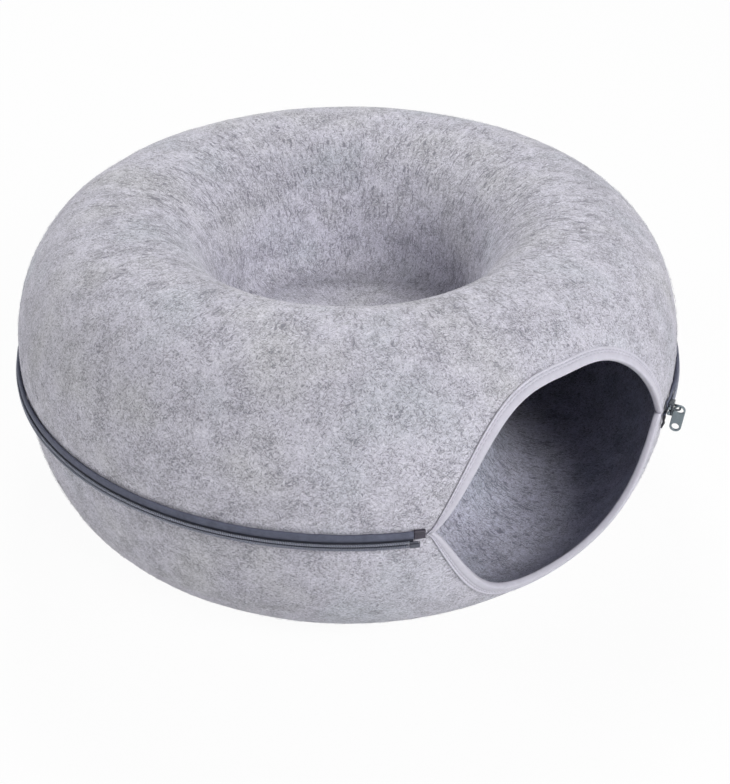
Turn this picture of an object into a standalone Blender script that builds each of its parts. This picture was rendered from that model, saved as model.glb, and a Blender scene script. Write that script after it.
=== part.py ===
# Donut cat bed: two press-moulded felt halves zipped together round their rims.
# Metres, +Z up. The bed stands on z = 0 with the ring's axis on Z. The entrance faces between -Y and
# +X. Angles along the zip run from the middle of the entrance towards +X and on round the back.

import math

import bmesh
import bpy
from mathutils import Vector

# Felt halves
RIM_RADIUS = 0.2460
LOWER_RIM_INSET = 0.0010
UPPER_HEIGHT = 0.1065
LOWER_HEIGHT = 0.1150
CROWN_RADIUS = 0.1690
THROAT_RADIUS = 0.0965
FELT = 0.0040
RIM_STRAIGHT = 0.0060
DISC_FILLET = 0.0200
FOOT_WIDTH = 0.0160
PARTING_GAP = 0.0003
UPPER_OUTER_POWER = 0.95
LOWER_OUTER_POWER = 0.86
THROAT_POWER = 0.79
RING_SEGMENTS = 48
WALL_STEPS = 6
THROAT_STEPS = 4
FILLET_STEPS = 3

# Entrance, a pointed oval cut half in each felt half
ENTRANCE_ANGLE = math.radians(37.2)
ENTRANCE_WIDTH = 0.2180
UPPER_ARCH_RISE = 0.0773
LOWER_ARCH_DROP = 0.0812
ARCH_POWER = 2.94
ARCH_FLARE_SHARE = 0.70
ARCH_FLARE_POWER = 5.8
ARCH_STATIONS = 32
WALL_ROWS = 5
CUT_OVERRUN = 0.0060

# Binding folded over the cut edge, where the felt is pressed thinner from the inside
BINDING_WIDTH = 0.0078
BINDING_TIP_WIDTH = 0.0020
BINDING_TIP_POWER = 8
BINDING_THICKNESS = 0.0006
BINDING_GAP = 0.0003
PRESSED_FELT = 0.0026
PRESS_MARGIN = 0.0008
PRESS_OVERRUN = 0.0016

# Zip chain
CHAIN_DROP = 0.0042
TOOTH_PITCH = 0.0064
TOOTH_REACH = 0.0011
CHAIN_HEIGHT = 0.0046
COIL_DEPTH = 0.0020
COIL_SPREAD = 0.0013
TAPE_THICKNESS = 0.0006
TAPE_GAP = 0.0003
TAPE_EDGE = 0.0010
TAPE_STATIONS = 72
FOLD_HEIGHT = 0.0057
FOLD_DEPTH = 0.0031
LOWER_TAPE_DEPTH = 0.0058
LOWER_TAPE_TURN = 0.0036
BAND_END_GAP = 0.0005
SLIDER_SIDE_GAP = 0.0050
END_PATCH_LENGTH = 0.0072
END_PATCH_DEPTH = 0.0026
END_PATCH_RISE = 0.0009
CHAIN_SETBACK = 0.0104
TAIL_LENGTH = 0.0130
TAIL_WIDTH = 0.0040

# Slider, stops, pin and box
PLATE_THICKNESS = 0.0009
BACK_PLATE_GAP = 0.0004
SLIDER_GAP = 0.0003
SLIDER_LENGTH = 0.0090
SHOULDER_LENGTH = 0.0035
NOSE_HALF_WIDTH = 0.0048
REAR_HALF_WIDTH = 0.0035
FLANGE_THICKNESS = 0.0009
WEDGE_LENGTH = 0.0025
WEDGE_HALF_WIDTH = 0.0007
WEDGE_SETBACK = 0.0005
STOP_LENGTH = 0.0020
STOP_HEIGHT = 0.0022
PIN_LENGTH = 0.0056
PIN_HEIGHT = 0.0013
BOX_WALL = 0.0007
BRIDGE_WIRE_RADIUS = 0.0008
BRIDGE_LENGTH = 0.0056
PULL_WIDTH = 0.0084
PULL_LENGTH = 0.0225
PULL_THICKNESS = 0.0016
PULL_EYE_RADIUS = 0.0029
PULL_HOLE_RADIUS = 0.0026
PULL_HOLE_STRETCH = 0.0006
PULL_END_WALL = 0.0016
ARC_STEPS = 10
BITE = 0.0002

# Places that follow from the sizes above
PARTING = LOWER_HEIGHT
CHAIN_HEIGHT_ABOVE_GROUND = PARTING - CHAIN_DROP
LOWER_RIM_RADIUS = RIM_RADIUS - LOWER_RIM_INSET
HALF_ANGLE = ENTRANCE_WIDTH / 2 / RIM_RADIUS
BACK_PLATE_RADIUS = RIM_RADIUS + BACK_PLATE_GAP
TAPE_RADIUS = BACK_PLATE_RADIUS + PLATE_THICKNESS + SLIDER_GAP
COIL_RADIUS = TAPE_RADIUS + TAPE_THICKNESS + TAPE_GAP
CHAIN_RADIUS = COIL_RADIUS + COIL_DEPTH
FRONT_PLATE_RADIUS = CHAIN_RADIUS + SLIDER_GAP
BRIDGE_RADIUS = FRONT_PLATE_RADIUS + PLATE_THICKNESS + SLIDER_GAP + PULL_WIDTH / 2
PULL_HANG = PULL_EYE_RADIUS - BRIDGE_WIRE_RADIUS - SLIDER_GAP


def ring_point(radius, angle, height):
    """A point by its radius, its angle from the entrance and its height."""
    return Vector((radius * math.sin(angle), -radius * math.cos(angle), height))


class Half:
    """The moulded form of one felt half; side is +1 for the upper half and -1 for the lower."""

    def __init__(self, side, rim_radius, height, power, flat, arch_rise):
        self.side = side
        self.face = PARTING + side * PARTING_GAP / 2
        self.rim_radius = rim_radius
        self.height = height - PARTING_GAP / 2
        self.power = power
        self.crown_outer = CROWN_RADIUS + flat / 2
        self.crown_inner = CROWN_RADIUS - flat / 2
        self.arch_rise = arch_rise

    def outer_wall(self, turn):
        """Radius and height on the outer wall, for a turn of 0 at the rim to a quarter at the crown."""
        reach = self.rim_radius - self.crown_outer
        climb = self.height - RIM_STRAIGHT
        radius = self.crown_outer + reach * math.cos(turn) ** self.power
        height = self.face + self.side * (RIM_STRAIGHT + climb * math.sin(turn) ** self.power)
        return radius, height

    def throat_wall(self, turn):
        """The same on the inner wall, which drops from the crown to the disc."""
        reach = self.crown_inner - THROAT_RADIUS
        radius = self.crown_inner - reach * math.cos(turn) ** THROAT_POWER
        height = self.face + self.side * self.height * math.sin(turn) ** THROAT_POWER
        return radius, height

    def wall_radius(self, height):
        """Outer radius at a height."""
        climbed = self.side * (height - self.face) - RIM_STRAIGHT
        if climbed <= 0:
            return self.rim_radius
        share = min(climbed / (self.height - RIM_STRAIGHT), 1)
        return self.outer_wall(math.asin(share ** (1 / self.power)))[0]

    def wall_slope(self, height):
        """Unit outward normal on the outer wall, as its radial and upward parts."""
        step = FELT / 5
        rise = self.wall_radius(height + step / 2) - self.wall_radius(height - step / 2)
        length = math.hypot(step, rise)
        return step / length, -rise / length

    def wall_point(self, angle, height, proud):
        """A point that stands proud of the outer wall, measured along its normal."""
        out, up = self.wall_slope(height)
        return ring_point(self.wall_radius(height) + proud * out, angle, height + proud * up)

    def arch_height(self, share):
        """Height of the cut edge; share runs from -1 at one corner to 1 at the other."""
        arch = 1 - abs(share) ** ARCH_POWER
        flare = 1 - ARCH_FLARE_SHARE * abs(share) ** ARCH_FLARE_POWER
        return self.face + self.side * self.arch_rise * arch * flare

    def profile(self):
        """Section of the outside surface, from the middle of the disc to the rim."""
        disc = self.face + self.side * FELT
        share = (FELT + DISC_FILLET) / self.height
        start = math.asin(share ** (1 / THROAT_POWER))
        fillet_centre = self.throat_wall(start)[0] - DISC_FILLET
        points = [(0, disc), (fillet_centre, disc)]
        for step in range(1, FILLET_STEPS):
            turn = math.pi / 2 * step / FILLET_STEPS
            rise = DISC_FILLET * (1 - math.cos(turn))
            points.append((fillet_centre + DISC_FILLET * math.sin(turn), disc + self.side * rise))
        for step in range(THROAT_STEPS + 1):
            turn = start + (math.pi / 2 - start) * step / THROAT_STEPS
            points.append(self.throat_wall(turn))
        crown = WALL_STEPS if self.crown_outer > self.crown_inner else WALL_STEPS - 1
        for step in range(crown, -1, -1):
            points.append(self.outer_wall(math.pi / 2 * step / WALL_STEPS))
        points.append((self.rim_radius, self.face))
        return points if self.side > 0 else points[::-1]


UPPER = Half(1, RIM_RADIUS, UPPER_HEIGHT, UPPER_OUTER_POWER, 0, UPPER_ARCH_RISE)
LOWER = Half(-1, LOWER_RIM_RADIUS, LOWER_HEIGHT, LOWER_OUTER_POWER, FOOT_WIDTH, LOWER_ARCH_DROP)


def flap_reach(half):
    """How far the binding's outer edge reaches past a corner, measured round the rim."""
    steepness = ARCH_POWER * (1 - ARCH_FLARE_SHARE) * half.arch_rise / (ENTRANCE_WIDTH / 2)
    return BINDING_TIP_WIDTH / math.sin(math.atan(steepness))


CORNER_CLEAR = HALF_ANGLE + (max(flap_reach(UPPER), flap_reach(LOWER)) + BAND_END_GAP) / RIM_RADIUS
BAND_START = CORNER_CLEAR + SLIDER_SIDE_GAP / RIM_RADIUS
BAND_END = 2 * math.pi - CORNER_CLEAR
CHAIN_END = BAND_END - CHAIN_SETBACK / RIM_RADIUS
SLIDER_ANGLE = BAND_START + (STOP_LENGTH + BAND_END_GAP + SLIDER_LENGTH / 2) / RIM_RADIUS


def past(start, distance):
    """The angle a distance further round the zip."""
    return start + distance / CHAIN_RADIUS


def clear_scene():
    for thing in list(bpy.data.objects):
        bpy.data.objects.remove(thing, do_unlink=True)


def collection(name):
    made = bpy.data.collections.new(name)
    bpy.context.scene.collection.children.link(made)
    return made


clear_scene()
PARTS = collection("donut_cat_bed")
CUTTERS = collection("cutters")


def material(name, colour, roughness, metallic=0):
    made = bpy.data.materials.new(name)
    made.use_nodes = True
    surface = made.node_tree.nodes["Principled BSDF"]
    surface.inputs["Base Color"].default_value = (*colour, 1)
    surface.inputs["Roughness"].default_value = roughness
    surface.inputs["Metallic"].default_value = metallic
    return made


FELT_GREY = material("grey_wool_felt", (0.48, 0.47, 0.54), 0.95)
BINDING_GREY = material("pale_binding_tape", (0.62, 0.61, 0.68), 0.85)
TAPE_SLATE = material("slate_zip_tape", (0.10, 0.12, 0.16), 0.80)
END_FILM = material("dark_end_film", (0.04, 0.03, 0.05), 0.60)
COIL_NYLON = material("dark_nylon_coil", (0.05, 0.06, 0.07), 0.45)
ZIP_METAL = material("grey_coated_zinc", (0.19, 0.23, 0.26), 0.40, 0.8)


def empty(name, parent=None, location=(0, 0, 0), turn=0):
    made = bpy.data.objects.new(name, None)
    made.location = location
    made.rotation_euler.z = turn
    made.parent = parent
    PARTS.objects.link(made)
    return made


RING_AXIS = empty("ring_axis", turn=ENTRANCE_ANGLE)
SLIDER_AXIS = empty("slider_travel_axis", RING_AXIS, turn=SLIDER_ANGLE)


def add_piece(name, mesh, finish=None, parent=RING_AXIS):
    """Adds a part with its finish, or a cutter where there is none."""
    piece = bpy.data.objects.new(name, mesh)
    piece.parent = parent
    if finish:
        PARTS.objects.link(piece)
        mesh.materials.append(finish)
    else:
        CUTTERS.objects.link(piece)
        piece.hide_render = True
        piece.display_type = "WIRE"
    return piece


def mesh_from(name, shape):
    """Turns a finished bmesh into a mesh whose faces point out."""
    bmesh.ops.recalc_face_normals(shape, faces=shape.faces[:])
    mesh = bpy.data.meshes.new(name)
    shape.to_mesh(mesh)
    shape.free()
    return mesh


def boolean(piece, other, operation):
    change = piece.modifiers.new(f"{operation.lower()}_{other.name}", "BOOLEAN")
    change.operation = operation
    change.solver = "EXACT"
    change.object = other


def smooth(mesh):
    mesh.shade_smooth()
    mesh.set_sharp_from_angle(angle=math.radians(35))


def loft(name, sections, finish, parent=RING_AXIS):
    """Skins a run of sections that have the same number of corners, and closes both ends."""
    shape = bmesh.new()
    rings = [[shape.verts.new(point) for point in section] for section in sections]
    for near, far in zip(rings, rings[1:]):
        for i in range(len(near)):
            j = (i + 1) % len(near)
            shape.faces.new((near[i], near[j], far[j], far[i]))
    shape.faces.new(rings[0])
    shape.faces.new(rings[-1])
    mesh = mesh_from(name, shape)
    smooth(mesh)
    return add_piece(name, mesh, finish, parent)


def turned_strip(name, section, start, end, steps, finish):
    """Sweeps a section of radii and heights round the ring's axis."""
    shape = bmesh.new()
    face = shape.faces.new([shape.verts.new(ring_point(r, start, z)) for r, z in section])
    bmesh.ops.spin(
        shape,
        geom=[face, *face.edges, *face.verts],
        axis=(0, 0, 1),
        cent=(0, 0, 0),
        angle=end - start,
        steps=steps,
    )
    mesh = mesh_from(name, shape)
    smooth(mesh)
    return add_piece(name, mesh, finish)


def flat_piece(name, outlines, thickness, radius, finish=None, parent=SLIDER_AXIS):
    """Extrudes outlines of (along the zip, up), inner ones as holes, centred on a radius."""
    curve = bpy.data.curves.new(name, "CURVE")
    curve.dimensions = "2D"
    curve.fill_mode = "BOTH"
    curve.extrude = thickness / 2
    for outline in outlines:
        spline = curve.splines.new("POLY")
        spline.points.add(len(outline) - 1)
        for point, (along, up) in zip(spline.points, outline):
            point.co = (along, up, 0, 1)
        spline.use_cyclic_u = True
    return from_curve(name, curve, (math.pi / 2, 0, 0), (0, -radius, CHAIN_HEIGHT_ABOVE_GROUND), finish, parent)


def from_curve(name, curve, rotation, location, finish, parent):
    """Makes a welded mesh object out of a curve, and removes the curve."""
    drawn = bpy.data.objects.new(name + "_curve", curve)
    CUTTERS.objects.link(drawn)
    graph = bpy.context.evaluated_depsgraph_get()
    mesh = bpy.data.meshes.new_from_object(drawn.evaluated_get(graph))
    bpy.data.objects.remove(drawn)
    shape = bmesh.new()
    shape.from_mesh(mesh)
    bmesh.ops.remove_doubles(shape, verts=shape.verts[:], dist=BITE / 100)
    shape.to_mesh(mesh)
    shape.free()
    mesh.name = name
    piece = add_piece(name, mesh, finish, parent)
    piece.rotation_euler = rotation
    piece.location = location
    return piece


def unite(name, base, others):
    for other in others:
        boolean(base, other, "UNION")
    return base


def felt_half(name, half):
    """A turned sheet of felt, thickened inwards and cut for the entrance."""
    mesh = bpy.data.meshes.new(name)
    points = [(r, 0, z) for r, z in half.profile()]
    mesh.from_pydata(points, [(i, i + 1) for i in range(len(points) - 1)], [])
    shell = add_piece(name, mesh, FELT_GREY)
    turn = shell.modifiers.new("turn", "SCREW")
    turn.angle = 2 * math.pi
    turn.steps = RING_SEGMENTS
    turn.render_steps = RING_SEGMENTS
    turn.use_merge_vertices = True
    turn.merge_threshold = BITE / 20
    thicken = shell.modifiers.new("felt_thickness", "SOLIDIFY")
    thicken.thickness = FELT
    thicken.offset = -1
    thicken.use_even_offset = True
    boolean(shell, press_cutter(name + "_press_cutter", half), "DIFFERENCE")
    boolean(shell, entrance_cutter(name + "_entrance_cutter", half), "DIFFERENCE")
    return shell


def entrance_cutter(name, half):
    """A block bent on to the wall: across the entrance, up to the arch and through the felt."""
    shape = bmesh.new()
    bmesh.ops.create_grid(shape, x_segments=ARCH_STATIONS, y_segments=WALL_ROWS, size=1)
    grown = bmesh.ops.extrude_face_region(shape, geom=shape.faces[:])
    far = [item for item in grown["geom"] if isinstance(item, bmesh.types.BMVert)]
    bmesh.ops.translate(shape, verts=far, vec=(0, 0, 1))
    low = half.face - half.side * CUT_OVERRUN
    for vert in shape.verts:
        across, up, through = vert.co.x, (vert.co.y + 1) / 2, vert.co.z
        height = low + (half.arch_height(across) - low) * up
        proud = CUT_OVERRUN - through * (FELT + 2 * CUT_OVERRUN)
        vert.co = half.wall_point(across * HALF_ANGLE, height, proud)
    return add_piece(name, mesh_from(name, shape))


def arch_tangent(half, share):
    """Unit direction of the cut edge."""
    step = 1 / ARCH_STATIONS / 10
    near = half.wall_point((share - step) * HALF_ANGLE, half.arch_height(share - step), 0)
    far = half.wall_point((share + step) * HALF_ANGLE, half.arch_height(share + step), 0)
    return (far - near).normalized()


def edge_placer(half, share):
    """Gives the edge's direction and a function that places points about it: across it towards the
    opening, and proud of the outer wall."""
    angle = share * HALF_ANGLE
    height = half.arch_height(share)
    out, up = half.wall_slope(height)
    normal = Vector((out * math.sin(angle), -out * math.cos(angle), up))
    tangent = arch_tangent(half, share)
    inward = tangent.cross(normal) * -half.side
    inward = inward if inward.z * half.side < 0 else -inward
    round_ring = Vector((math.cos(angle), math.sin(angle), 0))
    up_wall = normal.cross(round_ring) * -1
    up_wall = up_wall if up_wall.z > 0 else -up_wall

    def place(into, proud):
        if into > 0:
            return half.wall_point(angle, height, proud) + inward * into
        turned = angle + into * inward.dot(round_ring) / half.wall_radius(height)
        return half.wall_point(turned, height + into * inward.dot(up_wall) * up_wall.z, proud)

    return tangent, place


def flap_width(share):
    return BINDING_WIDTH - (BINDING_WIDTH - BINDING_TIP_WIDTH) * abs(share) ** BINDING_TIP_POWER


def mitred(corners, tangent, height):
    """Slides the corners along the edge to a level plane."""
    return [point + tangent * ((height - point.z) / tangent.z) for point in corners]


def along_arch():
    return [-1 + 2 * i / ARCH_STATIONS for i in range(ARCH_STATIONS + 1)]


def press_cutter(name, half):
    """Thins the felt from the inside, as far as the binding's inner flap reaches."""
    sections = []
    for share in along_arch():
        tangent, place = edge_placer(half, share)
        near, far = -PRESSED_FELT, -FELT - PRESS_OVERRUN
        width = flap_width(share) + PRESS_MARGIN
        corners = [place(-width, near), place(PRESS_OVERRUN, near), place(PRESS_OVERRUN, far), place(-width, far)]
        if abs(share) == 1:
            corners = mitred(corners, tangent, half.face - half.side * CUT_OVERRUN)
        sections.append(corners)
    return loft(name, sections, None)


def binding_section(half, share):
    """The U that folds over the felt's cut edge, at one place along the arch."""
    tangent, place = edge_placer(half, share)
    width = flap_width(share)
    inner = -PRESSED_FELT - BINDING_GAP
    fold = BINDING_GAP + BINDING_THICKNESS
    corners = [
        place(-width, BINDING_GAP),
        place(-width, fold),
        place(0, fold),
        place(fold, BINDING_GAP - BINDING_THICKNESS),
        place(fold, inner + BINDING_THICKNESS),
        place(0, inner - BINDING_THICKNESS),
        place(-width, inner - BINDING_THICKNESS),
        place(-width, inner),
        place(BINDING_GAP, inner),
        place(BINDING_GAP, BINDING_GAP),
    ]
    return mitred(corners, tangent, half.face) if abs(share) == 1 else corners


def binding(name, half):
    return loft(name, [binding_section(half, share) for share in along_arch()], BINDING_GREY)


def coil(name, side):
    """One row of teeth; the two rows interlock, and part round the slider's wedge."""
    start = past(BAND_START, STOP_LENGTH + TAPE_GAP)
    teeth = round((CHAIN_END - start) * CHAIN_RADIUS / TOOTH_PITCH)
    shoulder = STOP_LENGTH + BAND_END_GAP + SHOULDER_LENGTH
    sections = []
    for i in range(2 * teeth + 1):
        angle = start + (CHAIN_END - start) * i / (2 * teeth)
        travelled = (angle - BAND_START) * CHAIN_RADIUS
        spread = COIL_SPREAD * min(max((shoulder + TOOTH_PITCH / 2 - travelled) / (TOOTH_PITCH / 2), 0), 1)
        middle = CHAIN_HEIGHT_ABOVE_GROUND + side * spread
        tooth = TOOTH_REACH / 2 * (1 if i % 2 else -1)
        edge = middle + side * TAPE_GAP / 2 + tooth
        back = middle + side * CHAIN_HEIGHT / 2
        outline = [(COIL_RADIUS, edge), (CHAIN_RADIUS, edge), (CHAIN_RADIUS, back), (COIL_RADIUS, back)]
        sections.append([ring_point(radius, angle, height) for radius, height in outline])
    return loft(name, sections, COIL_NYLON)


def upper_tape():
    """Thin at the slider, and folded to a soft roll along the rest of the rim."""
    middle = CHAIN_HEIGHT_ABOVE_GROUND
    inner, outer = TAPE_RADIUS, TAPE_RADIUS + TAPE_THICKNESS
    edge = middle + TAPE_EDGE
    low = middle + CHAIN_HEIGHT / 2 + TAPE_GAP
    top = low + FOLD_HEIGHT
    felt_side = RIM_RADIUS + TAPE_GAP
    proud = felt_side + FOLD_DEPTH
    round_off = FOLD_DEPTH / 3
    fold = [
        (inner, edge),
        (outer, edge),
        (outer, low),
        (proud - round_off / 2, low + round_off / 2),
        (proud, (low + top) / 2),
        (proud - round_off, top - round_off / 2),
        (felt_side, top),
        (felt_side, low + PARTING_GAP + CHAIN_DROP - CHAIN_HEIGHT / 2),
        (inner, low + TAPE_GAP),
    ]
    heights = [edge, edge, low, low + round_off, (low + top) / 2, top, top, (low + top) / 2, low]
    leg = [(outer if 0 < i < 6 else inner, height) for i, height in enumerate(heights)]
    leg_end = SLIDER_ANGLE + (SLIDER_LENGTH / 2 + TAPE_GAP) / CHAIN_RADIUS
    fold_start = past(leg_end, FOLD_DEPTH)
    fold_end = past(BAND_END, -END_PATCH_LENGTH - TAPE_GAP)
    stations = [(BAND_START, leg), (leg_end, leg)]
    for i in range(TAPE_STATIONS + 1):
        stations.append((fold_start + (fold_end - fold_start) * i / TAPE_STATIONS, fold))
    sections = [[ring_point(r, angle, z) for r, z in section] for angle, section in stations]
    return loft("upper_zip_tape", sections, TAPE_SLATE)


def upper_tape_end():
    """The stiffened end of the upper tape, pressed flatter than the roll."""
    low = CHAIN_HEIGHT_ABOVE_GROUND + CHAIN_HEIGHT / 2 + TAPE_GAP
    top = low + FOLD_HEIGHT + END_PATCH_RISE
    felt_side = RIM_RADIUS + TAPE_GAP
    proud = felt_side + END_PATCH_DEPTH
    corner = END_PATCH_DEPTH / 4
    section = [
        (felt_side, low),
        (proud - corner, low),
        (proud, low + corner),
        (proud, top - corner),
        (proud - corner, top),
        (felt_side, top),
    ]
    start = past(BAND_END, -END_PATCH_LENGTH)
    return turned_strip("upper_tape_end", section, start, BAND_END, 2, END_FILM)


def lower_tape():
    """Runs behind the lower teeth and turns in to the lower half, with a loose tail at the slider."""
    middle = CHAIN_HEIGHT_ABOVE_GROUND
    turn = middle - LOWER_TAPE_TURN
    felt_side = LOWER_RIM_RADIUS + TAPE_GAP
    section = [
        (TAPE_RADIUS + TAPE_THICKNESS, middle - TAPE_EDGE),
        (TAPE_RADIUS, middle - TAPE_EDGE),
        (TAPE_RADIUS, turn + TAPE_THICKNESS),
        (felt_side, turn + TAPE_THICKNESS),
        (felt_side, middle - LOWER_TAPE_DEPTH),
        (felt_side + TAPE_THICKNESS, middle - LOWER_TAPE_DEPTH),
        (felt_side + TAPE_THICKNESS, turn),
        (TAPE_RADIUS + TAPE_THICKNESS, turn),
    ]
    tape = turned_strip("lower_zip_tape", section, BAND_START, CHAIN_END, TAPE_STATIONS, TAPE_SLATE)
    tail_section = [
        (felt_side + BITE, turn - BITE),
        (felt_side + BITE, middle - LOWER_TAPE_DEPTH - TAIL_LENGTH),
        (felt_side + BITE + 2 * TAPE_THICKNESS, middle - LOWER_TAPE_DEPTH - TAIL_LENGTH),
        (felt_side + BITE + 2 * TAPE_THICKNESS, turn - BITE),
    ]
    start = past(BAND_START, BITE)
    tail = turned_strip("lower_tape_tail_join", tail_section, start, past(start, TAIL_WIDTH), 1, None)
    return unite("lower_zip_tape", tape, [tail])


def plate_outline(low_share=1.0):
    """Outline of a slider plate: a wide nose, shoulders and a narrow rear."""
    nose = -SLIDER_LENGTH / 2
    shoulder = nose + SHOULDER_LENGTH
    rear = SLIDER_LENGTH / 2
    upper = [(nose, NOSE_HALF_WIDTH), (shoulder, NOSE_HALF_WIDTH), (rear, REAR_HALF_WIDTH)]
    return [(x, -z * low_share) for x, z in upper] + [(x, z) for x, z in reversed(upper)]


def flange_outline(side):
    """The lip along one edge of a plate."""
    upper = plate_outline()[3:]
    inner = [(x, z - FLANGE_THICKNESS) for x, z in reversed(upper)]
    return [(x, side * z) for x, z in upper + inner]


def rounded(centre_up, radius, start, steps=ARC_STEPS, sweep=math.pi):
    """Points of an arc in the plane of (along, up)."""
    turns = [start + sweep * i / steps for i in range(steps + 1)]
    return [(radius * math.cos(turn), centre_up + radius * math.sin(turn)) for turn in turns]


def slider_body():
    """Two plates joined by the wedge at the nose, lips that hold the chain in, and the bridge."""
    back_low = (LOWER_TAPE_TURN - TAPE_THICKNESS - SLIDER_GAP) / NOSE_HALF_WIDTH
    lip_depth = FRONT_PLATE_RADIUS - COIL_RADIUS
    lip_radius = COIL_RADIUS + lip_depth / 2 + BITE / 2
    body = flat_piece(
        "zip_slider_body",
        [plate_outline()],
        PLATE_THICKNESS,
        FRONT_PLATE_RADIUS + PLATE_THICKNESS / 2,
        ZIP_METAL,
    )
    back = flat_piece(
        "slider_back_plate", [plate_outline(back_low)], PLATE_THICKNESS, BACK_PLATE_RADIUS + PLATE_THICKNESS / 2
    )
    lips = [
        flat_piece("slider_upper_lip", [flange_outline(1)], lip_depth + BITE, lip_radius),
        flat_piece("slider_lower_lip", [flange_outline(-1)], lip_depth + BITE, lip_radius),
    ]
    nose = -SLIDER_LENGTH / 2 + WEDGE_SETBACK
    wedge_outline = [
        (nose, 0),
        (nose + WEDGE_LENGTH / 3, -WEDGE_HALF_WIDTH),
        (nose + WEDGE_LENGTH, 0),
        (nose + WEDGE_LENGTH / 3, WEDGE_HALF_WIDTH),
    ]
    wedge_depth = FRONT_PLATE_RADIUS - BACK_PLATE_RADIUS
    wedge = flat_piece(
        "slider_wedge", [wedge_outline], wedge_depth, BACK_PLATE_RADIUS + PLATE_THICKNESS / 2 + wedge_depth / 2
    )
    return unite("zip_slider_body", body, [back, *lips, wedge, bridge()])


def bridge():
    """A wire arch on the front plate, along the zip, which the pull hangs on."""
    curve = bpy.data.curves.new("slider_bridge", "CURVE")
    curve.dimensions = "3D"
    curve.bevel_depth = BRIDGE_WIRE_RADIUS
    curve.bevel_resolution = 2
    curve.use_fill_caps = True
    foot = FRONT_PLATE_RADIUS + PLATE_THICKNESS / 2
    corner = BRIDGE_LENGTH / 4
    top = BRIDGE_RADIUS
    route = [(-BRIDGE_LENGTH / 2, foot)]
    for turn in (0, math.pi / 4, math.pi / 2):
        along = -BRIDGE_LENGTH / 2 + corner * (1 - math.cos(turn))
        route.append((along, top - corner + corner * math.sin(turn)))
    route += [(-along, radius) for along, radius in reversed(route)]
    spline = curve.splines.new("POLY")
    spline.points.add(len(route) - 1)
    for point, (along, radius) in zip(spline.points, route):
        point.co = (along, -radius, 0, 1)
    place = (0, 0, CHAIN_HEIGHT_ABOVE_GROUND)
    return from_curve("slider_bridge", curve, (0, 0, 0), place, None, SLIDER_AXIS)


def pull_tab():
    """A flat pull with a round eye on the bridge and a slotted finger hole, hanging square to the zip."""
    head = -PULL_HANG
    foot = head - PULL_LENGTH + PULL_WIDTH
    half_width = PULL_WIDTH / 2
    outline = rounded(head, half_width, 0) + rounded(foot, half_width, math.pi)
    eye = rounded(head, PULL_EYE_RADIUS, 0, 2 * ARC_STEPS, 2 * math.pi)[:-1]
    hole_centre = foot - half_width + PULL_END_WALL + PULL_HOLE_RADIUS
    hole = rounded(hole_centre + PULL_HOLE_STRETCH, PULL_HOLE_RADIUS, 0)
    hole += rounded(hole_centre - PULL_HOLE_STRETCH, PULL_HOLE_RADIUS, math.pi)
    hanger = empty(
        "pull_swing_axis", SLIDER_AXIS, (0, -BRIDGE_RADIUS, CHAIN_HEIGHT_ABOVE_GROUND), math.pi / 2
    )
    tab = flat_piece("zip_pull_tab", [outline, eye, hole], PULL_THICKNESS, 0, ZIP_METAL, hanger)
    tab.location = (0, 0, 0)
    return tab


def block(name, start, length, radii, heights, finish):
    """A small moulded block on the chain, with softened corners."""
    (inner, outer), (low, high) = radii, heights
    section = [(inner, low), (outer, low), (outer, high), (inner, high)]
    piece = turned_strip(name, section, start, past(start, length), 1, finish)
    soften = piece.modifiers.new("soften", "BEVEL")
    soften.width = min(outer - inner, high - low) / 5
    soften.segments = 1
    soften.limit_method = "ANGLE"
    return piece


def top_stop(name, side):
    """A clip at the closed end of one row of teeth, where the rows have parted."""
    inner = CHAIN_HEIGHT_ABOVE_GROUND + side * (COIL_SPREAD - TAPE_GAP)
    heights = sorted((inner, inner + side * STOP_HEIGHT))
    return block(name, BAND_START, STOP_LENGTH, (COIL_RADIUS, CHAIN_RADIUS), heights, ZIP_METAL)


def box_and_pin():
    """The open end of the zip: a tray on the lower row takes the pin of the upper row."""
    start = past(CHAIN_END, TAPE_GAP)
    middle = CHAIN_HEIGHT_ABOVE_GROUND
    radii = (COIL_RADIUS, CHAIN_RADIUS)
    low = middle - CHAIN_HEIGHT / 2
    pin_low = middle + TAPE_GAP
    top = pin_low + PIN_HEIGHT
    lip = (CHAIN_RADIUS - BOX_WALL / 2, CHAIN_RADIUS + BOX_WALL / 2)
    block(
        "zip_insertion_pin",
        start,
        PIN_LENGTH,
        (COIL_RADIUS, CHAIN_RADIUS - BOX_WALL / 2 - SLIDER_GAP),
        (pin_low, top),
        COIL_NYLON,
    )
    tray_length = PIN_LENGTH + TAPE_GAP + BOX_WALL
    tray = block("zip_retaining_box", start, tray_length, radii, (low, middle), COIL_NYLON)
    end_wall = block(
        "box_end_wall",
        past(start, PIN_LENGTH + TAPE_GAP),
        BOX_WALL - BITE,
        (COIL_RADIUS + BITE, CHAIN_RADIUS - BITE),
        (low + BITE, top),
        None,
    )
    front_lip = block(
        "box_front_lip",
        past(start, BITE),
        tray_length - BITE * 2,
        lip,
        (low + BITE, middle + PIN_HEIGHT / 2),
        None,
    )
    unite("zip_retaining_box", tray, [end_wall, front_lip])


felt_half("upper_shell", UPPER)
felt_half("lower_shell", LOWER)
binding("upper_binding", UPPER)
binding("lower_binding", LOWER)
upper_tape()
upper_tape_end()
lower_tape()
coil("upper_zip_coil", 1)
coil("lower_zip_coil", -1)
top_stop("upper_top_stop", 1)
top_stop("lower_top_stop", -1)
box_and_pin()
slider_body()
pull_tab()
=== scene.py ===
import math
import random

import bmesh
import bpy
from mathutils import Matrix, Vector, noise


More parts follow.
